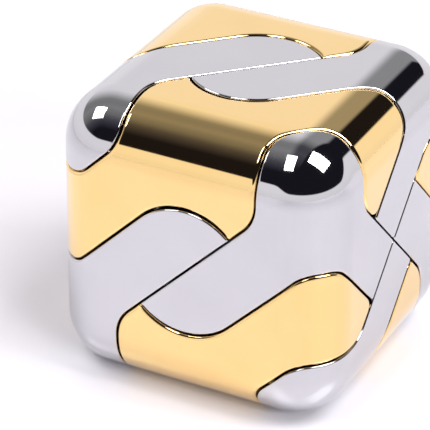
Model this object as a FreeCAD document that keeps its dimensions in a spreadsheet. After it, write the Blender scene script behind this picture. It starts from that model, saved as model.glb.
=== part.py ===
import FreeCAD, Part
import math
import os

# Fidget cube: twelve plated pieces close into one rounded cube. Each piece
# belongs to one edge of the cube and slides outwards along the line from the
# centre to the middle of that edge. All twelve move together.
#
# Frame: origin at the middle of the face the cube stands on, +Z up. The two
# pinwheel faces look along +X and -X. Shapes are worked out about the centre
# of the cube, and each placement then lifts them by half a side.

doc = FreeCAD.newDocument("fidget_cube")
sheet = doc.addObject("Spreadsheet::Sheet", "Dims")

# Driving sizes, in millimetres except for the last.
SIZES = [
    # the cube and its plated shells
    ("side", 55.0),
    ("round_edge", 10.4),
    ("shell_wall", 2.4),
    ("seam", 0.30),
    # how far every piece slides out
    ("travel", 5.0),
    ("stop_gap", 0.1),
    # black posts that carry the shells
    ("post_radius", 5.5),
    ("post_inset", 0.80),
    ("hub_gap", 0.35),
    # hollow ball in the middle
    ("hub_outer", 15.0),
    ("hub_inner", 12.0),
    # steel pins
    ("pin_radius", 0.90),
    ("pin_play", 0.05),
    ("head_radius", 1.50),
    ("head_play", 0.30),
    ("head_thick", 1.00),
    ("pin_bury", 4.5),
    ("pin_offset", 5.0),
    # magnet in the middle and the stalk that holds it
    ("magnet_radius", 1.80),
    ("magnet_length", 4.0),
    ("cup_wall", 0.50),
    ("cup_depth", 0.80),
    ("stalk_radius", 1.20),
    # screws that hold the two halves of the ball together
    ("screw_radius", 0.60),
    ("screw_play", 0.05),
    ("screw_head", 1.05),
    ("screw_circle", 13.4),
    ("screw_low", 4.0),
    ("screw_high", 3.0),
    # radius of a hook's round end, and width of its band, as part of the side
    ("hook_share", 0.223),
]
for row, (name, value) in enumerate(SIZES, start=1):
    sheet.set("A%d" % row, name)
    sheet.set("B%d" % row, str(value))
    sheet.setAlias("B%d" % row, name)
doc.recompute()
size = dict((name, float(sheet.get(name))) for name, value in SIZES)
side = size["side"]
half = side / 2

# Shape of the swirl, as fractions of the side. Every outline lies on a face
# and is measured from the middle of that face.
HOOK = size["hook_share"]
EDGE = 0.245      # where a seam passes over an edge beside a corner
ARCH = 0.087      # where the top of an arch passes over an edge
CAP = 0.630       # sloping side of the lobe round a corner
SLOPE = 0.300     # sloping side of the gold point on a pinwheel face
BEND = 0.137      # radius where a seam turns from sloping to straight
CAP_BEND = 0.120
ARCH_BEND = 0.100
NOSE_BEND = 0.040
TIP_BEND = 0.012

TIP = HOOK / math.sqrt(2)
BAND = HOOK * math.sqrt(2)


# Seams as corner points (across, up, radius): the two straight parts that
# meet at a point are joined by an arc of that radius.
# On a side face, from the left edge under the gold field to the hook's tip.
SEAM_ARCH = [
    (-0.5, -ARCH, 0.0),
    (-ARCH - BAND, -ARCH, ARCH_BEND),
    (0.0, BAND, HOOK),
    (TIP, TIP, 0.0),
]
# On a side face, from the hook's tip up to the top edge.
SEAM_RISE = [
    (EDGE, EDGE, BEND),
    (EDGE, 0.5, 0.0),
]
# On a side face, round the lobe at the upper left corner.
SEAM_LOBE = [
    (-EDGE, 0.5, 0.0),
    (-EDGE, CAP - EDGE, CAP_BEND),
    (EDGE - CAP, EDGE, CAP_BEND),
    (-0.5, EDGE, 0.0),
]
# On a pinwheel face, from the top edge down to the gold point's nose.
SEAM_LEFT = [
    (-EDGE, 0.5, 0.0),
    (-EDGE, EDGE, BEND),
]
# On a pinwheel face, from the nose up to the top edge.
SEAM_RIGHT = [
    (ARCH, ARCH + SLOPE, ARCH_BEND),
    (ARCH, 0.5, 0.0),
]
NOSE = (-SLOPE / 2, SLOPE / 2)


def turned(points, quarter_turns):
    """The same points after some quarter turns about the middle of the face."""
    out = list(points)
    for _ in range(quarter_turns):
        out = [(-b, a, r) for a, b, r in out]
    return out


def backwards(points):
    return list(reversed(points))


# Closed outlines, anticlockwise as seen from outside. The gold piece belongs
# to the edge between the front and the top.
GOLD_FRONT = SEAM_ARCH[:3] + [(TIP, TIP, TIP_BEND)] + SEAM_RISE + SEAM_LOBE
GOLD_TOP = turned(GOLD_FRONT, 2)
GOLD_RIGHT = SEAM_LEFT + [NOSE + (NOSE_BEND,)] + SEAM_RIGHT
GOLD_LEFT = turned(GOLD_RIGHT, 3)

# The chrome piece belongs to the upright edge between the front and the right.
CHROME_FRONT = backwards(turned(SEAM_ARCH, 2)) + [(0.5, 0.5, 0.0)] + backwards(SEAM_RISE)
CHROME_TOP = [(0.5, -0.5, 0.0)] + backwards(turned(SEAM_LOBE, 2))
CHROME_RIGHT = (
    [(-0.5, 0.5, 0.0)]
    + turned(backwards(SEAM_RIGHT), 1)
    + turned([NOSE + (TIP_BEND,)], 1)
    + [(0.0, 0.0, TIP_BEND)]
    + backwards(SEAM_LEFT)
)


def meet(p, d, q, e):
    """Point where the line from p along d meets the line from q along e."""
    det = e[0] * d[1] - d[0] * e[1]
    s = (e[0] * (q[1] - p[1]) - e[1] * (q[0] - p[0])) / det
    return (p[0] + s * d[0], p[1] + s * d[1])


def inset_corners(points, inset):
    """Move the seams of an outline inwards; its parts on an edge stay put."""
    lines = []
    for i, start in enumerate(points):
        end = points[(i + 1) % len(points)]
        length = math.hypot(end[0] - start[0], end[1] - start[1])
        along = ((end[0] - start[0]) / length, (end[1] - start[1]) / length)
        middle = max(abs(start[0] + end[0]), abs(start[1] + end[1])) / 2
        move = 0.0 if middle > 0.4999 else inset
        lines.append(((start[0] - along[1] * move, start[1] + along[0] * move), along))
    out = []
    for i, point in enumerate(points):
        before, after = lines[i - 1], lines[i]
        turn = before[1][0] * after[1][1] - before[1][1] * after[1][0]
        radius = point[2]
        corner = after[0]
        if abs(turn) > 1e-6:
            corner = meet(before[0], before[1], after[0], after[1])
        if radius > 0:
            radius = max(radius - math.copysign(inset, turn), inset / 2)
        out.append((corner[0], corner[1], radius))
    return out


def bends(points):
    """For every corner: directions to its neighbours and length its arc takes."""
    out = []
    for i, point in enumerate(points):
        towards = []
        lengths = []
        for other in (points[i - 1], points[(i + 1) % len(points)]):
            length = math.hypot(other[0] - point[0], other[1] - point[1])
            lengths.append(length)
            towards.append(((other[0] - point[0]) / length, (other[1] - point[1]) / length))
        u, v = towards
        angle = math.acos(max(-1.0, min(1.0, u[0] * v[0] + u[1] * v[1])))
        reach = point[2] / math.tan(angle / 2) if point[2] > 0 else 0.0
        out.append([u, v, angle, reach, lengths[1]])
    # where two arcs need more than the straight part between them has, the
    # larger one gives way
    for i, bend in enumerate(out):
        after = out[(i + 1) % len(out)]
        excess = bend[3] + after[3] - bend[4]
        if excess > 0:
            larger = bend if bend[3] > after[3] else after
            larger[3] -= excess
    return out


def outline_wire(points, place):
    """Wire of lines and arcs through corner points, put in space by place."""
    spans = []
    for point, (u, v, angle, reach, length) in zip(points, bends(points)):
        if reach <= 0:
            spans.append([point[:2]])
            continue
        radius = reach * math.tan(angle / 2)
        depth = radius / math.sin(angle / 2) - radius
        middle = math.hypot(u[0] + v[0], u[1] + v[1])
        spans.append(
            [
                (point[0] + u[0] * reach, point[1] + u[1] * reach),
                (point[0] + (u[0] + v[0]) / middle * depth, point[1] + (u[1] + v[1]) / middle * depth),
                (point[0] + v[0] * reach, point[1] + v[1] * reach),
            ]
        )
    edges = []
    for i, span in enumerate(spans):
        if len(span) == 3:
            edges.append(Part.Arc(place(span[0]), place(span[1]), place(span[2])).toShape())
        start, end = place(span[-1]), place(spans[(i + 1) % len(spans)][0])
        if start.distanceToPoint(end) > 1e-6:
            edges.append(Part.makeLine(start, end))
    return Part.Wire(edges)


# Each face of the cube: how a point of its outline lies in space.
def on_front(p):
    return FreeCAD.Vector(p[0] * side, -half, p[1] * side)


def on_top(p):
    return FreeCAD.Vector(p[0] * side, p[1] * side, half)


def on_right(p):
    return FreeCAD.Vector(half, p[0] * side, p[1] * side)


def on_left(p):
    return FreeCAD.Vector(-half, -p[0] * side, p[1] * side)


CORNERS = [(-0.5, -0.5), (0.5, -0.5), (0.5, 0.5), (-0.5, 0.5)]


def pyramid(place):
    """Space between one face of the cube and its centre."""
    corners = [place(c) for c in CORNERS]
    centre = FreeCAD.Vector(0, 0, 0)
    faces = [Part.Face(Part.makePolygon(corners + corners[:1]))]
    for i in range(4):
        a, b = corners[i], corners[(i + 1) % 4]
        faces.append(Part.Face(Part.makePolygon([a, b, centre, a])))
    return Part.Solid(Part.Shell(faces))


def territory(outlines, inset):
    """Space under the outlines of one piece, its seams moved in by inset."""
    parts = []
    for points, place in outlines:
        wire = outline_wire(inset_corners(points, inset / side), place)
        inwards = (place((0.0, 0.0))) * -1
        parts.append(Part.Face(wire).extrude(inwards).common(pyramid(place)))
    return parts[0].fuse(parts[1:]).removeSplitter()


def rounded_block(edge_length, radius):
    """Cube about the centre with its edges and corners rounded."""
    corner = FreeCAD.Vector(1, 1, 1) * (-edge_length / 2)
    block = Part.makeBox(edge_length, edge_length, edge_length, corner)
    return block.makeFillet(radius, block.Edges)


outer_block = rounded_block(side, size["round_edge"])
inner_block = rounded_block(side - 2 * size["shell_wall"], size["round_edge"] - size["shell_wall"])
skin = outer_block.cut(inner_block)

GOLD = [(GOLD_FRONT, on_front), (GOLD_TOP, on_top), (GOLD_RIGHT, on_right), (GOLD_LEFT, on_left)]
CHROME = [(CHROME_FRONT, on_front), (CHROME_TOP, on_top), (CHROME_RIGHT, on_right)]

# One corner of the cube differs, the far left one of the top: there the gold
# piece runs on over the corner and the chrome piece has no lobe. These are
# the outlines of the two pieces beside it, as seen before they are turned.
GOLD_OVER_CORNER = SEAM_ARCH[:3] + [(TIP, TIP, TIP_BEND)] + SEAM_RISE + [(-0.5, 0.5, 0.0)]
GOLD_WITH_CORNER = [(GOLD_OVER_CORNER, on_front)] + GOLD[1:]
CHROME_WITHOUT_LOBE = [CHROME[0], CHROME[2]]


def edge_gap(along, out, gap):
    """Thin slab on the plane through the centre and one edge of the cube. It
    runs to the corner and parts two pieces whose seam is that edge."""
    slab = Part.makeBox(side, side, gap, FreeCAD.Vector(EDGE * side - gap / 2, 0, -gap / 2))
    along = FreeCAD.Vector(along)
    out = FreeCAD.Vector(out).normalize()
    turn = FreeCAD.Rotation(along, out, along.cross(out), "XYZ")
    slab.Placement = FreeCAD.Placement(FreeCAD.Vector(), turn)
    return slab


GOLD_CORNER_GAPS = [((-1, 0, 0), (0, -1, 1)), ((0, 0, 1), (-1, -1, 0))]
CHROME_CORNER_GAPS = [((1, 0, 0), (0, -1, 1)), ((0, -1, 0), (1, 0, 1))]
ODD_CORNER = {
    "gold_back_top": (GOLD_WITH_CORNER, GOLD_CORNER_GAPS),
    "chrome_left_back": (CHROME_WITHOUT_LOBE, CHROME_CORNER_GAPS),
}


# The twelve pieces. A gold pin runs through the centre of the cube; a chrome
# pin runs beside it, because a chrome piece covers only one end of its edge.
ABOUT_X = FreeCAD.Vector(1, 0, 0)
HALF_TURN = FreeCAD.Rotation(FreeCAD.Vector(0, 1, 0), 180)
PIECES = []
for step, place_name in enumerate(["front_top", "front_bottom", "back_bottom", "back_top"]):
    PIECES.append(("gold_" + place_name, "gold", FreeCAD.Rotation(ABOUT_X, 90 * step)))
for hand, first in (("right", FreeCAD.Rotation()), ("left", HALF_TURN)):
    for step, place_name in enumerate(["front", "bottom", "back", "top"]):
        turn = FreeCAD.Rotation(ABOUT_X, 90 * step).multiply(first)
        PIECES.append(("chrome_%s_%s" % (hand, place_name), "chrome", turn))

# Direction of the pin and how far it runs from the centre, before turning.
WAY = {"gold": FreeCAD.Vector(0, -1, 1), "chrome": FreeCAD.Vector(1, -1, 0)}
OFFSET = {"gold": "0", "chrome": "Dims.pin_offset"}
PIN_START = {"gold": FreeCAD.Vector(0, 0, 0), "chrome": FreeCAD.Vector(0, 0, size["pin_offset"])}
LIFT = FreeCAD.Vector(0, 0, half)


def pin_placement(kind, turn):
    """Local +Z along the pin, outwards."""
    base = FreeCAD.Placement(PIN_START[kind], FreeCAD.Rotation(FreeCAD.Vector(0, 0, 1), WAY[kind]))
    return FreeCAD.Placement(LIFT, turn).multiply(base)


def chord(radius_name, kind, more="0"):
    """Expression for how far along a pin a ball of that radius reaches."""
    return "sqrt((Dims.%s + %s)^2 - (%s)^2)" % (radius_name, more, OFFSET[kind])


# Where each post begins, measured along its pin. The hooks of two chrome
# pieces pass under a gold one, so its post begins further out.
FOOT = {
    "gold": "sqrt(2) * (Dims.hook_share * Dims.side + Dims.post_inset)",
    "chrome": chord("hub_outer", "chrome", "Dims.hub_gap"),
}
foot_radius = size["hub_outer"] + size["hub_gap"]
FOOT_VALUE = {
    "gold": math.sqrt(2) * (size["hook_share"] * side + size["post_inset"]),
    "chrome": math.sqrt(foot_radius ** 2 - size["pin_offset"] ** 2),
}


def cylinder(label, radius, height, start="0", placement=None):
    """Cylinder along its own Z whose sizes are expressions on the sheet."""
    body = doc.addObject("Part::Cylinder", label)
    body.Label = label
    body.setExpression("Radius", radius)
    body.setExpression("Height", height)
    if placement is None:
        body.setExpression("Placement.Base.z", start)
    else:
        body.Placement = placement
    return body


def fused(label, pieces):
    body = doc.addObject("Part::MultiFuse", label)
    body.Label = label
    body.Shapes = pieces
    return body


def minus(label, base, tool):
    body = doc.addObject("Part::Cut", label)
    body.Label = label
    body.Base = base
    body.Tool = tool
    return body


nodes = []


def solid_feature(label, shape, placement):
    feature = doc.addObject("Part::Feature", label)
    feature.Label = label
    feature.Shape = shape
    feature.Placement = placement
    nodes.append(feature)


# Plated shells: the skin of the block under each piece's outlines.
# Black posts: what a round column about the pin shares with the space under
# the same outlines, from just above the hub to the inside of the shell.
shapes = {}
for kind, outlines in (("gold", GOLD), ("chrome", CHROME)):
    shell = territory(outlines, size["seam"] / 2).common(skin)
    way = FreeCAD.Vector(WAY[kind]).normalize()
    column = Part.makeCylinder(size["post_radius"], side, PIN_START[kind], way)
    post = territory(outlines, size["post_inset"]).common(inner_block).common(column)
    post = post.cut(Part.makeSphere(foot_radius))
    hole = Part.makeCylinder(size["pin_radius"], FOOT_VALUE[kind] + size["pin_bury"], PIN_START[kind], way)
    post = post.cut(hole)
    shapes[kind] = (shell, max(post.Solids, key=lambda solid: solid.Volume))
for name, kind, turn in PIECES:
    at = FreeCAD.Placement(LIFT, turn)
    shell, post = shapes[kind]
    if name in ODD_CORNER:
        outlines, edges = ODD_CORNER[name]
        shell = territory(outlines, size["seam"] / 2).common(skin)
        shell = shell.cut([edge_gap(along, out, size["seam"]) for along, out in edges])
        shell = max(shell.Solids, key=lambda solid: solid.Volume)
    solid_feature(name + "_shell", shell, at)
    solid_feature(name + "_post", post, at)

# Steel pins. The head waits inside the ball, a little over one travel short
# of its seat, so that it never grinds on the seat.
for name, kind, turn in PIECES:
    seat = chord("hub_inner", kind)
    head_top = "%s - Dims.travel - Dims.stop_gap" % seat
    end = "%s + Dims.pin_bury" % FOOT[kind]
    head = cylinder(name + "_head", "Dims.head_radius", "Dims.head_thick", head_top + " - Dims.head_thick")
    shaft = cylinder(name + "_shaft", "Dims.pin_radius", "(%s) - (%s) + 0.5 * Dims.head_thick" % (end, head_top))
    shaft.setExpression("Placement.Base.z", "%s - 0.5 * Dims.head_thick" % head_top)
    pin = fused(name + "_pin", [head, shaft])
    pin.Placement = pin_placement(kind, turn)
    nodes.append(pin)

# Hollow ball in two halves, with a bore and an inner seat for every pin.
ball = doc.addObject("Part::Sphere", "hub_ball")
ball.setExpression("Radius", "Dims.hub_outer")
hollow = doc.addObject("Part::Sphere", "hub_hollow")
hollow.setExpression("Radius", "Dims.hub_inner")
drills = [hollow]
for name, kind, turn in PIECES:
    at = FreeCAD.Placement(FreeCAD.Vector(0, 0, 0), turn)
    at = at.multiply(FreeCAD.Placement(PIN_START[kind], FreeCAD.Rotation(FreeCAD.Vector(0, 0, 1), WAY[kind])))
    drills.append(cylinder(name + "_bore", "Dims.pin_radius + Dims.pin_play", "2 * Dims.hub_outer", "0", at))
    drills.append(
        cylinder(name + "_seat", "Dims.head_radius + Dims.head_play", chord("hub_inner", kind), "0", at)
    )
screws = []
sockets = []
for step in range(4):
    spot = FreeCAD.Rotation(FreeCAD.Vector(0, 0, 1), 90 * step).multVec(
        FreeCAD.Vector(size["screw_circle"], 0, 0)
    )
    low = FreeCAD.Vector(spot.x, spot.y, -size["screw_low"])
    down = FreeCAD.Vector(spot.x, spot.y, -size["hub_outer"])
    under = FreeCAD.Vector(spot.x, spot.y, -size["screw_low"] - 1.0)
    upright = FreeCAD.Rotation()
    number = str(step + 1)
    drills.append(
        cylinder(
            "screw_hole_" + number,
            "Dims.screw_radius + Dims.screw_play",
            "Dims.screw_low + Dims.screw_high + 0.3",
            "0",
            FreeCAD.Placement(low, upright),
        )
    )
    drills.append(
        cylinder(
            "screw_pocket_" + number,
            "Dims.screw_head + 0.1",
            "Dims.hub_outer - Dims.screw_low",
            "0",
            FreeCAD.Placement(down, upright),
        )
    )
    screws.append(
        cylinder(
            "screw_shank_" + number,
            "Dims.screw_radius",
            "Dims.screw_low + Dims.screw_high + 0.5",
            "0",
            FreeCAD.Placement(low - FreeCAD.Vector(0, 0, 0.5), upright),
        )
    )
    screws.append(
        cylinder("screw_cap_" + number, "Dims.screw_head", "1", "0", FreeCAD.Placement(under, upright))
    )
    socket = doc.addObject("Part::Prism", "screw_socket_" + number)
    socket.Polygon = 6
    socket.setExpression("Circumradius", "0.5 * Dims.screw_head")
    socket.Height = 0.5
    socket.Placement = FreeCAD.Placement(under, upright)
    sockets.append(socket)

hub = minus("hub_bored", ball, fused("hub_drills", drills))


def half_box(label, low_corner):
    box = doc.addObject("Part::Box", label)
    for edge in ("Length", "Width", "Height"):
        box.setExpression(edge, "2 * Dims.side")
    box.Placement = FreeCAD.Placement(low_corner, FreeCAD.Rotation())
    return box


def half_of(label, box):
    body = doc.addObject("Part::Common", label)
    body.Base = hub
    body.Tool = box
    return body


upper = half_of("hub_upper", half_box("space_above", FreeCAD.Vector(-side, -side, 0)))
upper.Placement = FreeCAD.Placement(LIFT, FreeCAD.Rotation())
nodes.append(upper)

# The lower half carries a stalk with a cup for the magnet in the middle.
bowl = half_of("hub_bowl", half_box("space_below", FreeCAD.Vector(-side, -side, -2 * side)))
stalk = cylinder(
    "stalk",
    "Dims.stalk_radius",
    "Dims.hub_inner + 0.5 - 0.5 * Dims.magnet_length",
    "-Dims.hub_inner - 0.5",
)
cup = cylinder(
    "cup",
    "Dims.magnet_radius + Dims.cup_wall",
    "Dims.cup_wall + Dims.cup_depth",
    "-0.5 * Dims.magnet_length - Dims.cup_wall",
)
cup_room = cylinder("cup_room", "Dims.magnet_radius", "Dims.magnet_length", "-0.5 * Dims.magnet_length")
lower = minus("hub_lower", fused("hub_bowl_and_stalk", [bowl, stalk, cup]), cup_room)
lower.Placement = FreeCAD.Placement(LIFT, FreeCAD.Rotation())
nodes.append(lower)

magnet = doc.addObject("Part::Cylinder", "core_magnet")
magnet.setExpression("Radius", "Dims.magnet_radius")
magnet.setExpression("Height", "Dims.magnet_length")
magnet.setExpression("Placement.Base.z", "0.5 * Dims.side - 0.5 * Dims.magnet_length")
nodes.append(magnet)

screw_set = minus("hub_screws", fused("screw_blanks", screws), fused("screw_sockets", sockets))
screw_set.Placement = FreeCAD.Placement(LIFT, FreeCAD.Rotation())
nodes.append(screw_set)

doc.recompute()
for body in doc.Objects:
    if "Invalid" in body.State or "Error" in body.State:
        raise RuntimeError("%s did not build: %s" % (body.Name, body.State))
for node in nodes:
    if node.Shape.isNull() or not node.Shape.isValid():
        raise RuntimeError("%s has no valid shape" % node.Label)

os.makedirs("parts", exist_ok=True)
for node in nodes:
    node.Shape.exportStep(os.path.join("parts", node.Label + ".step"))
print("%d parts written" % len(nodes))
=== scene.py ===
# %% [markdown]
# # A coordinate-motion fidget cube in gold and chrome plate
#
# The desk toy is a rounded cube of twelve interlocking shells round a magnet.
# Four shells are plated gold and eight are plated chrome.
# Pulling one shell outward makes all twelve slide outward together, and the magnet snaps them back.
#
# This lesson starts from the CAD model: the shells, posts, guide pins, hub, screws and magnet.
# It gives the shells the soft polished rims that real plated parts have, and then every part its finish.
# A small studio comes last, because a mirror finish is mostly what stands round it.

# %% Load the CAD model
import math

import bmesh
import bpy
import numpy as np
from mathutils import Matrix, Vector
from mathutils.geometry import delaunay_2d_cdt
from mathutils.kdtree import KDTree


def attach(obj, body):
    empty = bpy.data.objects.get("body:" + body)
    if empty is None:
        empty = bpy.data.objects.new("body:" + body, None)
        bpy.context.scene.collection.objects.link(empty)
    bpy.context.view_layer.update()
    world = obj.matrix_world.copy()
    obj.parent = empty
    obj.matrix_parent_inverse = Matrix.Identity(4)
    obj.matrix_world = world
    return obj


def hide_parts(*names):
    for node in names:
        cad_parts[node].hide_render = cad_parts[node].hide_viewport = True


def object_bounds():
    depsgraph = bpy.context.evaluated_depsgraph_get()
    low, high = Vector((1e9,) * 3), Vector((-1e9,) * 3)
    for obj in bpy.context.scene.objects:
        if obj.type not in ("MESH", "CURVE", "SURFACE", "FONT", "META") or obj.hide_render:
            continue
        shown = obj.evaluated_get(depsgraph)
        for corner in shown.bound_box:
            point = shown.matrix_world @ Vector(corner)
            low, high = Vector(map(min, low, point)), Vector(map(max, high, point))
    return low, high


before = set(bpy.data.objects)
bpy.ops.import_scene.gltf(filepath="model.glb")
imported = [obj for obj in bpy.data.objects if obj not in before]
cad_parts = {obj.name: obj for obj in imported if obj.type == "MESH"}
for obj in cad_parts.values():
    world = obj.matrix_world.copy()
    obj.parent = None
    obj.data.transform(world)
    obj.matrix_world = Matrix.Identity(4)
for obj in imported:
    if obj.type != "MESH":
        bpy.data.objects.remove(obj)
box_at_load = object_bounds()
print("CAD parts:", len(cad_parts), " box:", box_at_load)

# %% [markdown]
# ## The rounded block
#
# Every shell is a slice of one block: a cube with edges and corners rounded to the same radius.
# A mirror shows the smallest dent, so the outer skin is not left to flat facets.
# Small functions give the height of any point above the block's surface,
# and the exact direction that the surface faces there.
# The side is measured on the CAD model, and the rounding is the CAD model's own.

# %% Measure the block and describe its surface
MM = 0.001
ROUNDING = 10.4 * MM

low, high = (Vector(corner) for corner in box_at_load)
SIDE = high.z - low.z
MIDDLE = Vector((0.0, 0.0, SIDE / 2))
FLAT = SIDE / 2 - ROUNDING
print("side", round(SIDE / MM, 2), "mm; flats reach", round(FLAT / MM, 2), "mm from the middle of each face")


def nearest_core(p):
    return Vector([max(-FLAT, min(FLAT, v)) for v in p - MIDDLE])


def facing(p):
    return (p - MIDDLE - nearest_core(p)).normalized()


def height_above(p):
    return (p - MIDDLE - nearest_core(p)).length - ROUNDING


def on_surface(p):
    return MIDDLE + nearest_core(p) + facing(p) * ROUNDING


# %% [markdown]
# ## Where the skin gets its points
#
# The skin needs points close together on the rounded edges and few on the flats.
# A grid is laid over each side of a plain cube.
# Each point then moves along its ray from the middle until it meets the rounded block.
# All six sides use the same steps, so the grids meet along the edges.

# %% Lay a grid of points over the whole block
FLAT_STEPS = 12
ROUND_STEPS = 11
FIRST_REACH = 0.4 * SIDE
PUSH_ROUNDS = 24
STEEPEST = 0.3
KEYS_PER_METRE = 1e7


def grid_steps():
    flat = [-FLAT + 2 * FLAT * i / FLAT_STEPS for i in range(FLAT_STEPS + 1)]
    curved = [FLAT + ROUNDING * i / ROUND_STEPS for i in range(1, ROUND_STEPS + 1)]
    return [-v for v in reversed(curved)] + flat + curved


def push_to_surface(direction):
    reach = FIRST_REACH
    for _ in range(PUSH_ROUNDS):
        p = MIDDLE + direction * reach
        reach -= height_above(p) / max(STEEPEST, facing(p).dot(direction))
    return MIDDLE + direction * reach


def block_points():
    found = {}
    steps = grid_steps()
    for axis in range(3):
        for sign in (-1, 1):
            for u in steps:
                for v in steps:
                    ray = [0.0, 0.0, 0.0]
                    ray[axis] = sign * SIDE / 2
                    ray[(axis + 1) % 3] = u
                    ray[(axis + 2) % 3] = v
                    p = push_to_surface(Vector(ray).normalized())
                    found[tuple(round(c * KEYS_PER_METRE) for c in p)] = p
    return list(found.values())


SKIN_POINTS = block_points()
print("points on the block:", len(SKIN_POINTS))

# %% [markdown]
# ## Polished rims
#
# A moulded shell that is polished before plating has no sharp rim.
# The skin turns over into the wall with a small round.
# That round catches a fine bright line beside each dark seam.
#
# First the rim of a shell is found: it is where the outer skin meets the wall.
# Walking along it keeps the skin on the left, which later tells which way is outward.

# %% Find and walk the rim of a shell
RIM_STEP = 0.6 * MM
SKIN_TOLERANCE = 0.004 * MM
SAME_WAY = 0.8


def is_skin(face):
    on_block = all(abs(height_above(v.co)) < SKIN_TOLERANCE for v in face.verts)
    return on_block and facing(face.calc_center_median()).dot(face.normal) > SAME_WAY


def rim_edges(bm, skin):
    return [e for e in bm.edges if len(e.link_faces) == 2 and sum(f in skin for f in e.link_faces) == 1]


def split_long_rim(bm):
    while True:
        bm.normal_update()
        skin = {f for f in bm.faces if is_skin(f)}
        long_edges = [e for e in rim_edges(bm, skin) if e.calc_length() > RIM_STEP]
        if not long_edges:
            return skin
        bmesh.ops.subdivide_edges(bm, edges=long_edges, cuts=1)
        for e in rim_edges(bm, skin):
            for v in e.verts:
                v.co = on_surface(v.co)


def walk_rim(bm, skin):
    after = {}
    for e in rim_edges(bm, skin):
        face = next(f for f in e.link_faces if f in skin)
        loop = next(l for l in face.loops if l.edge == e)
        after[loop.vert] = loop.link_loop_next.vert
    start = min(after, key=lambda v: v.index)
    walk = [start]
    while after[walk[-1]] != start:
        walk.append(after[walk[-1]])
    if len(walk) != len(after):
        raise ValueError("a shell's rim is not one closed line")
    return walk


# %% [markdown]
# The walls run straight down from the face they are cut into, so that the shells can slide apart.
# At each point of the rim the wall goes down from the face that the point lies on.
# Where two faces meet it goes down halfway between them.
# The round is a soft curve that starts on the skin, turns at the old sharp rim and ends on the wall.
# Near a narrow tip the round is made smaller, so that the two sides of the tip don't cross.

# %% Shape the round between skin and wall
GOLD_RIM = 0.75 * MM
CHROME_RIM = 0.38 * MM
RIM_RINGS = 5
BETWEEN_FACES = 0.25 * MM
AHEAD = 0.02 * MM
ROOM_SHARE = 0.7


def wall_down(p):
    q = p - MIDDLE
    tallest = max(abs(v) for v in q)
    on_face = [math.copysign(1.0, v) if abs(v) > tallest - BETWEEN_FACES else 0.0 for v in q]
    return -Vector(on_face).normalized()


def room_inside(points, p, inward):
    across = points - np.array(p)
    ahead = across @ np.array(inward)
    facing_us = ahead > AHEAD
    if not facing_us.any():
        return SIDE
    circles = (across[facing_us] ** 2).sum(axis=1) / (2 * ahead[facing_us])
    return float(circles.min())


def rim_sections(walk, rim_round):
    sections = []
    count = len(walk)
    points = np.array([v.co[:] for v in walk])
    for i, vert in enumerate(walk):
        p = vert.co.copy()
        along = (walk[(i + 1) % count].co - walk[i - 1].co).normalized()
        up = facing(p)
        inward = up.cross(along).normalized()
        down = wall_down(p)
        outward = along.cross(-down).normalized()
        size = min(rim_round, ROOM_SHARE * room_inside(points, p, inward))
        skin_end = on_surface(p + inward * size)
        wall_end = p + down * rim_round
        rings = []
        for k in range(RIM_RINGS + 1):
            t = k / RIM_RINGS
            place = wall_end * (1 - t) ** 2 + p * (2 * t * (1 - t)) + skin_end * t ** 2
            turn = t * math.pi / 2
            look = (outward * math.cos(turn) + facing(skin_end) * math.sin(turn)).normalized()
            rings.append((place, look))
        sections.append(rings)
    return sections


# %% [markdown]
# ## Stretching the skin over a shell
#
# The skin inside the rim is a triangle net through the grid points that fall inside it.
# To lay out the net, the shell is seen from the middle of the cube
# and flattened like a map round the shell's own centre.
# Points too close to the rim are left out, which keeps the triangles well shaped.

# %% Fill the rim with a net of triangles
CLEAR_OF_RIM = 0.5 * MM
MAP_EDGE = -0.3
MAP_TOLERANCE = 1e-9


def map_maker(border):
    ahead = sum(((p - MIDDLE).normalized() for p in border), Vector()).normalized()
    across = ahead.orthogonal().normalized()
    up = ahead.cross(across)

    def flatten(p):
        s = (p - MIDDLE).normalized()
        return Vector((s.dot(across), s.dot(up))) / (1.0 + s.dot(ahead))

    return flatten, ahead


def skin_net(border):
    flatten, ahead = map_maker(border)
    near = KDTree(len(border))
    for i, p in enumerate(border):
        near.insert(p, i)
    near.balance()
    on_map = [p for p in SKIN_POINTS if (p - MIDDLE).normalized().dot(ahead) > MAP_EDGE]
    inner = [p for p in on_map if near.find(p)[2] > CLEAR_OF_RIM]
    points = list(border) + inner
    outline = [list(range(len(border)))]
    flat_points = [flatten(p) for p in points]
    _, _, faces, origin, _, _ = delaunay_2d_cdt(flat_points, [], outline, 1, MAP_TOLERANCE)
    if any(len(o) != 1 for o in origin):
        raise ValueError("the net of a shell folds over itself")
    return points, [[origin[i][0] for i in face] for face in faces]


# %% [markdown]
# ## Building a shell
#
# The wall and the hollow inside stay as the CAD model has them.
# Only the outer skin is taken off and replaced by the finer skin with its rounded rim.
# Each point of the new skin also stores the exact direction it faces.
# Reflections then run over it without a ripple.

# %% Build one plated shell
WELD = 0.001 * MM
SHARP_EDGE = math.radians(30)


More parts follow.
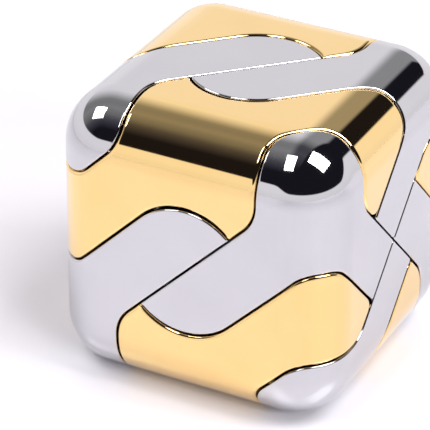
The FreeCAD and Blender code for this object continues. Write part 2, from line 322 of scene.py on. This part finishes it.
def plated_shell(node_name):
    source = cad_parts[node_name]
    bm = bmesh.new()
    bm.from_mesh(source.data)
    bmesh.ops.remove_doubles(bm, verts=bm.verts, dist=WELD)
    skin = split_long_rim(bm)
    bm.verts.index_update()
    walk = walk_rim(bm, skin)
    sections = rim_sections(walk, GOLD_RIM if node_name.startswith("gold") else CHROME_RIM)
    bmesh.ops.delete(bm, geom=list(skin), context="FACES")

    looks = {}
    rings = [list(walk)]
    for vert, section in zip(walk, sections):
        vert.co = section[0][0]
        looks[vert] = section[0][1]
    for k in range(1, RIM_RINGS + 1):
        ring = [bm.verts.new(section[k][0]) for section in sections]
        for vert, section in zip(ring, sections):
            looks[vert] = section[k][1]
        rings.append(ring)
    new_faces = []
    count = len(walk)
    for lower, upper in zip(rings, rings[1:]):
        for i in range(count):
            j = (i + 1) % count
            new_faces.append(bm.faces.new((lower[i], lower[j], upper[j], upper[i])))

    points, net = skin_net([section[RIM_RINGS][0] for section in sections])
    verts = list(rings[RIM_RINGS])
    placed = {i: v for i, v in enumerate(verts)}
    for triangle in net:
        for i in triangle:
            if i not in placed:
                placed[i] = bm.verts.new(points[i])
                looks[placed[i]] = facing(points[i])
        new_faces.append(bm.faces.new([placed[i] for i in triangle]))
    bmesh.ops.recalc_face_normals(bm, faces=bm.faces)
    for face in bm.faces:
        face.smooth = True

    bm.verts.index_update()
    bm.faces.index_update()
    new_index = {f.index for f in new_faces}
    look_of = {v.index: n for v, n in looks.items()}
    open_edges = sum(not e.is_manifold for e in bm.edges)
    name = node_name.replace("_shell", "_plated_shell")
    mesh = bpy.data.meshes.new(name)
    bm.to_mesh(mesh)
    bm.free()
    mesh.set_sharp_from_angle(angle=SHARP_EDGE)
    normals = []
    for polygon in mesh.polygons:
        for loop in polygon.loop_indices:
            vertex = mesh.loops[loop].vertex_index
            normals.append(look_of[vertex] if polygon.index in new_index else (0, 0, 0))
    mesh.normals_split_custom_set(normals)
    shell = bpy.data.objects.new(name, mesh)
    bpy.context.scene.collection.objects.link(shell)
    return shell, open_edges


# %% [markdown]
# Each new shell takes the place of its CAD shell and moves with the same body.
# The count of open edges shows whether the mesh is closed: it has to be nought.

# %% Put the twelve plated shells in place
shells = {}
shell_nodes = [n for n in sorted(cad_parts) if n.endswith("_shell")]
for node_name in shell_nodes:
    shell, open_edges = plated_shell(node_name)
    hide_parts(node_name)
    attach(shell, node_name.replace("_shell", ""))
    shells[node_name] = shell
    print(shell.name, len(shell.data.vertices), "points, open edges:", open_edges)

# %% [markdown]
# ## Finishes
#
# One function turns a colour that people write as a hex number into the linear values that light works with.
# Another adds a node with its settings and links, so that each finish below reads as a short list.

# %% Colour and node helpers
def linear(hex_colour):
    values = [int(hex_colour[i:i + 2], 16) / 255 for i in (1, 3, 5)]
    return tuple(v / 12.92 if v <= 0.04045 else ((v + 0.055) / 1.055) ** 2.4 for v in values) + (1.0,)


def add(tree, kind, links=None, inputs=None, **settings):
    made = tree.nodes.new(kind)
    for key, value in settings.items():
        setattr(made, key, value)
    for key, value in (inputs or {}).items():
        made.inputs[key].default_value = value
    for key, output in (links or {}).items():
        tree.links.new(output, made.inputs[key])
    return made


def new_finish(name):
    finish = bpy.data.materials.new(name)
    finish.use_nodes = True
    finish.node_tree.nodes.clear()
    return finish, finish.node_tree


# %% [markdown]
# The finishes share a few building blocks.
# A cloud is a soft random pattern whose spots have a size in millimetres.
# A spread stretches its values to the range that a setting needs, a tint blends two colours by it,
# and dents let it bend the light as if the surface rose and fell.

# %% Clouds, spreads, tints and dents
def cloud(tree, place, size, detail, **more):
    inputs = {"Scale": 1 / size, "Detail": detail, **more}
    return add(tree, "ShaderNodeTexNoise", links={"Vector": place}, inputs=inputs).outputs["Fac"]


def spread(tree, value, start, end, lowest, highest, **settings):
    inputs = {"From Min": start, "From Max": end, "To Min": lowest, "To Max": highest}
    return add(tree, "ShaderNodeMapRange", links={"Value": value}, inputs=inputs, **settings).outputs["Result"]


def blend_ramp(tree, factor, stops):
    ramp = add(tree, "ShaderNodeValToRGB", links={"Fac": factor})
    elements = ramp.color_ramp.elements
    while len(elements) < len(stops):
        elements.new(0.5)
    for element, (place, colour) in zip(elements, stops):
        element.position = place
        element.color = colour
    return ramp.outputs["Color"]


def tint(tree, value, light, deep):
    return blend_ramp(tree, value, [(0.3, linear(light)), (0.7, linear(deep))])


def dents(tree, height, strength, depth):
    inputs = {"Strength": strength, "Distance": depth}
    return add(tree, "ShaderNodeBump", links={"Height": height}, inputs=inputs).outputs["Normal"]


def cover(tree, colour, roughness, normal, **inputs):
    links = {"Base Color": colour, "Roughness": roughness, "Normal": normal}
    surface = add(tree, "ShaderNodeBsdfPrincipled", links=links, inputs=inputs)
    add(tree, "ShaderNodeOutputMaterial", links={"Surface": surface.outputs["BSDF"]})


# %% [markdown]
# ### Plated shells
#
# The shells are moulded plastic with a polished copper and nickel layer under the last coat.
# The last coat is a thin gold flash on four shells and bright chrome on eight.
# The gold is soft, so a thin clear lacquer protects it.
# Plating is almost a perfect mirror, with a faint haze where fingers rub
# and a trace of waviness from the moulding under it.
# The haze is a few millimetres across, and the waviness about ten.

# %% Gold and chrome plate
TINT_SPOTS = 14 * MM
RUBBED_SPOTS = 4 * MM
WAVES = 11 * MM
WAVE_DEPTH = 0.03 * MM
HAZE = 0.035


def plated_finish(name, light, deep, lacquer):
    finish, tree = new_finish(name)
    place = add(tree, "ShaderNodeTexCoord").outputs["Object"]
    colour = tint(tree, cloud(tree, place, TINT_SPOTS, 3.0), light, deep)
    rubbed = cloud(tree, place, RUBBED_SPOTS, 5.0, Roughness=0.6)
    roughness = spread(tree, rubbed, 0.35, 0.75, HAZE, HAZE * 2)
    waves = dents(tree, cloud(tree, place, WAVES, 0.0), 0.06, WAVE_DEPTH)
    coat = {"Coat Weight": lacquer, "Coat Roughness": 0.04, "Coat IOR": 1.5}
    cover(tree, colour, roughness, waves, Metallic=1.0, **coat)
    return finish


GOLD = plated_finish("bright gold plate on nickel", "#F3D18F", "#F1CD88", lacquer=0.5)
CHROME = plated_finish("bright decorative chrome plate", "#CBCACD", "#C7C6CA", lacquer=0.0)
print("plated finishes:", GOLD.name, "and", CHROME.name)

# %% [markdown]
# ### The works inside
#
# The posts are black nylon, a little shiny, with the fine even grain of a spark-eroded mould.
# The hub halves are white acetal, which is smooth and lets a little light in.

# %% Plastics
CLOUDY_SPOTS = 5 * MM
MOULD_GRAIN = 0.25 * MM
GRAIN_DEPTH = 0.02 * MM
LIGHT_REACH = 1 * MM


def moulded_plastic(name, light, deep, shine, grain, glow):
    finish, tree = new_finish(name)
    place = add(tree, "ShaderNodeTexCoord").outputs["Object"]
    spots = cloud(tree, place, CLOUDY_SPOTS, 4.0)
    roughness = spread(tree, spots, 0.3, 0.7, shine, shine + 0.12)
    bumps = dents(tree, cloud(tree, place, MOULD_GRAIN, 2.0), grain, GRAIN_DEPTH)
    inside = {"IOR": 1.5, "Subsurface Weight": glow, "Subsurface Scale": LIGHT_REACH}
    cover(tree, tint(tree, spots, light, deep), roughness, bumps, **inside)
    return finish


NYLON = moulded_plastic("moulded black nylon", "#1C1C1F", "#141416", shine=0.38, grain=0.35, glow=0.0)
ACETAL = moulded_plastic("moulded white acetal", "#ECEAE4", "#E2E0D9", shine=0.30, grain=0.15, glow=0.15)
print("plastics:", NYLON.name, "and", ACETAL.name)

# %% [markdown]
# The pins are drawn steel with faint lines along them.
# The screws are dark zinc, and the magnet is nickel-plated.
# One pattern makes all three: stretched along the pins, it turns into lines.

# %% Small metal parts
SCRATCH_DEPTH = 0.01 * MM
ALONG_PINS = (1.0, 1.0, 0.2)
EVEN = (1.0, 1.0, 1.0)


def worked_metal(name, light, deep, shine, spacing, stretch):
    finish, tree = new_finish(name)
    place = add(tree, "ShaderNodeTexCoord").outputs["Object"]
    stretched = add(tree, "ShaderNodeMapping", links={"Vector": place}, inputs={"Scale": stretch})
    lines = cloud(tree, stretched.outputs["Vector"], spacing, 3.0)
    roughness = spread(tree, lines, 0.3, 0.7, shine, shine + 0.1)
    scratches = dents(tree, lines, 0.2, SCRATCH_DEPTH)
    cover(tree, tint(tree, lines, light, deep), roughness, scratches, Metallic=1.0)
    return finish


STEEL = worked_metal("drawn stainless steel", "#CFCFD2", "#B9B9BE", 0.18, 0.3 * MM, ALONG_PINS)
ZINC = worked_metal("black zinc screws", "#5A5A5E", "#46464A", 0.28, 0.5 * MM, EVEN)
NICKEL = worked_metal("nickel-plated magnet", "#CFC9BF", "#C0BAB0", 0.14, 0.8 * MM, EVEN)
print("metals:", STEEL.name, ZINC.name, NICKEL.name, sep=", ")

# %% [markdown]
# Every part of the CAD model gets the finish of the material that it is made of.
# The names of the parts say which that is.

# %% Give every part its finish
def finish_for(name):
    if name.endswith("_post"):
        return NYLON
    if name.endswith("_pin"):
        return STEEL
    if name == "hub_screws":
        return ZINC
    if name == "core_magnet":
        return NICKEL
    if name.startswith("hub"):
        return ACETAL
    return GOLD if name.startswith("gold") else CHROME


for name, part in list(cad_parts.items()) + list(shells.items()):
    part.data.materials.clear()
    part.data.materials.append(finish_for(name))
print("finishes given to", len(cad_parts), "CAD parts and", len(shells), "plated shells")

# %% [markdown]
# ## The studio
#
# The cube stands on a pale satin table, which ends well beyond what the camera sees.
# The table lies a hair under the cube, so that the two surfaces don't coincide.

# %% Pale table
TABLE_RADIUS = 0.6
TABLE_DROP = 0.02 * MM

bpy.ops.mesh.primitive_circle_add(
    vertices=96, radius=TABLE_RADIUS, fill_type="NGON", location=(0, 0, -TABLE_DROP)
)
table = bpy.context.object
table.name = "white_table"
TABLE_TOP, tree = new_finish("satin white acrylic sheet")
place = add(tree, "ShaderNodeTexCoord").outputs["Object"]
grain = add(tree, "ShaderNodeTexNoise", links={"Vector": place}, inputs={"Scale": 60.0, "Detail": 2.0})
pale = tint(tree, grain.outputs["Fac"], "#E2DFE5", "#E0DDE3")
satin = {"Roughness": 0.22, "Specular IOR Level": 0.5}
acrylic = add(tree, "ShaderNodeBsdfPrincipled", links={"Base Color": pale}, inputs=satin)
add(tree, "ShaderNodeOutputMaterial", links={"Surface": acrylic.outputs["BSDF"]})
table.data.materials.append(TABLE_TOP)
print("table:", table.name)

# %% [markdown]
# The room is worked out from the direction that light comes from: X to the right, Y to the back, Z up.
# A bright band low down carries the pale table on to the horizon.
# Above it the room is dark in front and grows light towards the back, where a white card hangs to the left.
# The flat sides mirror the table and the card and look pale.
# The rounded edges mirror the dark part of the room and draw black bands.

# %% Dark room with a white card behind
TABLE_LIGHT = 1.12
NEARLY_DARK = 0.02
CEILING_BY_DEPTH = [
    (0.0, 0.012), (0.15, 0.012), (0.28, 0.11), (0.35, 0.20), (0.47, 0.32),
    (0.56, 0.28), (0.62, 0.31), (0.67, 0.5), (0.74, 0.84), (0.80, 1.08),
]

room = bpy.data.worlds.new("dark room with a white card")
bpy.context.scene.world = room
room.use_nodes = True
tree = room.node_tree
tree.nodes.clear()
way = add(tree, "ShaderNodeTexCoord").outputs["Generated"]
x, y, z = add(tree, "ShaderNodeSeparateXYZ", links={"Vector": way}).outputs


def rise(value, start, end, lowest, highest):
    return spread(tree, value, start, end, lowest, highest, interpolation_type="SMOOTHSTEP")


def reckon(a, operation, b):
    made = add(tree, "ShaderNodeMath", operation=operation)
    for socket, value in zip(made.inputs, (a, b)):
        if isinstance(value, (int, float)):
            socket.default_value = value
        else:
            tree.links.new(value, socket)
    return made.outputs["Value"]


# %% [markdown]
# The top of the bright band is higher to the left and at the back right than it is in front.
# Its glow is a touch weaker below the horizon, as a table's far part is.

# %% Bright band along the horizon
leftness = rise(x, -0.5, 0.1, 1.0, 0.0)
top_at_right = rise(y, 0.30, 0.85, 0.13, 0.32)
left_extra = reckon(leftness, "MULTIPLY", reckon(0.29, "SUBTRACT", top_at_right))
band_top = reckon(top_at_right, "ADD", left_extra)
band_glow = rise(z, -0.06, 0.12, TABLE_LIGHT * 0.95, TABLE_LIGHT)
below_top = rise(reckon(z, "SUBTRACT", band_top), -0.02, 0.02, 1.0, 0.0)
low_band = reckon(below_top, "MULTIPLY", band_glow)
print("the band's top lies between 0.13 and 0.32 of the way up")

# %% [markdown]
# The ceiling's light is a list of steps from front to back.
# It fades towards the middle, and stops short on the right, where the card ends.
# The darkest parts are a little blue, as unlit walls are beside white ones.

# %% Ceiling, card and wall colour
depth = spread(tree, y, -1.0, 1.0, 0.0, 1.0)
ceiling = blend_ramp(tree, depth, [(place, (v, v, v, 1.0)) for place, v in CEILING_BY_DEPTH])
fade_from_left = rise(x, -0.34, -0.10, 1.0, 0.36)
end_of_card = rise(x, 0.15, 0.24, 1.0, 0.02)
card = reckon(reckon(ceiling, "MULTIPLY", fade_from_left), "MULTIPLY", end_of_card)
room_light = reckon(reckon(card, "MAXIMUM", low_band), "MAXIMUM", NEARLY_DARK)
WALL_COLOURS = [(0.0, linear("#CFC6F2")), (0.2, linear("#FFFFFF")), (1.0, linear("#FDFBFE"))]
wall_paint = blend_ramp(tree, room_light, WALL_COLOURS)
backdrop = add(tree, "ShaderNodeBackground", links={"Color": wall_paint, "Strength": room_light})
add(tree, "ShaderNodeOutputWorld", links={"Surface": backdrop.outputs["Background"]})
print("room:", room.name)

# %% [markdown]
# Two square lamps overhead show as two bright squares in the dark corner of the cube.
# A small near one on the left shows in the left corner.
# A wide fill from the right brightens the table and throws the shadow to the left.
# The fill is hidden from reflections, which a real lamp couldn't be: it would show in the chrome.

# %% Four lamps
def soft_lamp(name, direction, distance, size, power, turn):
    lamp_data = bpy.data.lights.new(name, "AREA")
    lamp_data.shape = "RECTANGLE"
    lamp_data.size, lamp_data.size_y = size
    lamp_data.energy = power
    lamp = bpy.data.objects.new(name, lamp_data)
    away = Vector(direction).normalized()
    side = (Vector((1, 0, 0)) - away * away.x).normalized()
    facing_cube = Matrix((side, away.cross(side), away)).transposed().to_4x4()
    lamp.matrix_world = facing_cube @ Matrix.Rotation(turn, 4, "Z")
    lamp.location = MIDDLE + away * distance
    bpy.context.scene.collection.objects.link(lamp)
    return lamp


soft_lamp("soft lamp over the front", (-0.14, -0.43, 0.88), 1.2, (0.36, 0.62), power=4.6, turn=0.10)
soft_lamp("soft lamp over the right", (0.54, 0.06, 0.84), 1.2, (0.70, 0.54), power=14.0, turn=0.2)
soft_lamp("soft lamp over the left", (-0.62, -0.29, 0.73), 0.25, (0.08, 0.08), power=0.14, turn=0.0)
fill = soft_lamp("wide fill from the right", (0.80, -0.45, 0.40), 1.5, (0.60, 0.60), power=20.0, turn=0.0)
fill.visible_glossy = False

# %% [markdown]
# ## Camera
#
# The cube is seen from the front right and above, from about half a metre away with a long lens.
# The lens keeps the cube's far edges almost as long as the near ones.

# %% Place the camera
TURN = math.radians(27.2)
TILT = math.radians(30.2)
ROLL = math.radians(0.4)
DISTANCE = 9.66 * SIDE
LENS = 247.0
SENSOR = 36.0
AIM = MIDDLE + Vector((-0.1067, -0.0779, -0.0350)) * SIDE

camera_data = bpy.data.cameras.new("long lens")
camera_data.sensor_width = SENSOR
camera_data.lens = LENS
camera = bpy.data.objects.new("camera", camera_data)
bpy.context.scene.collection.objects.link(camera)
level = Vector((-math.sin(TURN), math.cos(TURN), 0)) * math.cos(TILT)
forward = level - Vector((0, 0, math.sin(TILT)))
level_right = forward.cross(Vector((0, 0, 1))).normalized()
level_up = level_right.cross(forward)
right = level_right * math.cos(ROLL) + level_up * math.sin(ROLL)
up = right.cross(forward)
camera.matrix_world = Matrix((right, up, -forward)).transposed().to_4x4()
camera.location = AIM - forward * DISTANCE
bpy.context.scene.camera = camera
bpy.context.scene.view_settings.view_transform = "Standard"
print("camera", round(DISTANCE, 3), "m from what it looks at")

# %% [markdown]
# ## Sizes
#
# The box round the cube, measured on the CAD model when it was loaded, is printed. It
# has to lie within the CAD model's box.

# %% Print the CAD model's box
print("CAD box", box_at_load)
